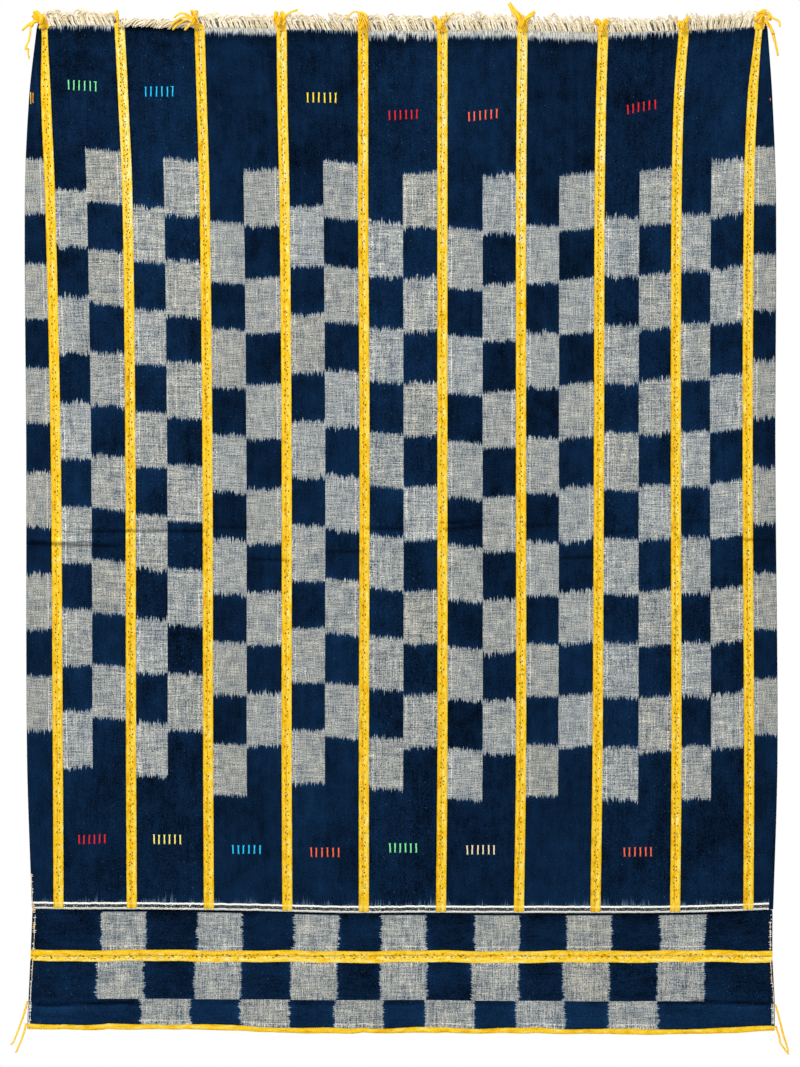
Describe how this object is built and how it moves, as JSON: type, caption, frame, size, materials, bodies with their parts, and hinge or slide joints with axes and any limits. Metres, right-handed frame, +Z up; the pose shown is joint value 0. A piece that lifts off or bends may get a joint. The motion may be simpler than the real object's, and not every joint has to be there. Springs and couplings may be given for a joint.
{
  "type": "handwoven cloth",
  "caption": "Strip-woven indigo cotton cloth with resist-dyed checks, yellow seam stripes, a crosswise border, cut fringe and tied warp ends, hung by its top edge.",
  "frame": {"origin": "the middle of the top edge, at the middle of the cloth's thickness", "axes": "+Z up along the strips, +X to the right seen from the front, +Y backwards: the front of the cloth faces -Y"},
  "size_m": [1.0905, 0.0211, 1.4723],
  "materials": {
    "indigo_cotton": "matt plain-woven cotton, indigo with resist-dyed grey-white blocks and yellow selvedge stripes",
    "undyed_cotton": "matt undyed cotton yarn, curly cut ends",
    "yellow_cotton": "matt yellow cotton yarn, twisted and knotted"
  },
  "bodies": {
    "root": {"strip_00": "indigo_cotton", "strip_01": "indigo_cotton", "strip_02": "indigo_cotton", "strip_03": "indigo_cotton", "strip_04": "indigo_cotton", "strip_05": "indigo_cotton", "strip_06": "indigo_cotton", "strip_07": "indigo_cotton", "strip_08": "indigo_cotton", "strip_09": "indigo_cotton", "strip_10": "indigo_cotton", "border_upper": "indigo_cotton", "border_lower": "indigo_cotton", "fringe_00": "undyed_cotton", "fringe_01": "undyed_cotton", "fringe_02": "undyed_cotton", "fringe_03": "undyed_cotton", "fringe_04": "undyed_cotton", "fringe_05": "undyed_cotton", "fringe_06": "undyed_cotton", "fringe_07": "undyed_cotton", "fringe_08": "undyed_cotton", "fringe_09": "undyed_cotton", "fringe_10": "undyed_cotton", "knot_01": "yellow_cotton", "knot_02": "yellow_cotton", "knot_03": "yellow_cotton", "knot_04": "yellow_cotton", "knot_05": "yellow_cotton", "knot_06": "yellow_cotton", "knot_07": "yellow_cotton", "knot_08": "yellow_cotton", "knot_09": "yellow_cotton", "knot_10": "yellow_cotton", "yarn_end_left_upper": "yellow_cotton", "yarn_end_left_lower": "yellow_cotton", "yarn_end_right": "yellow_cotton"}
  },
  "joints": []
}
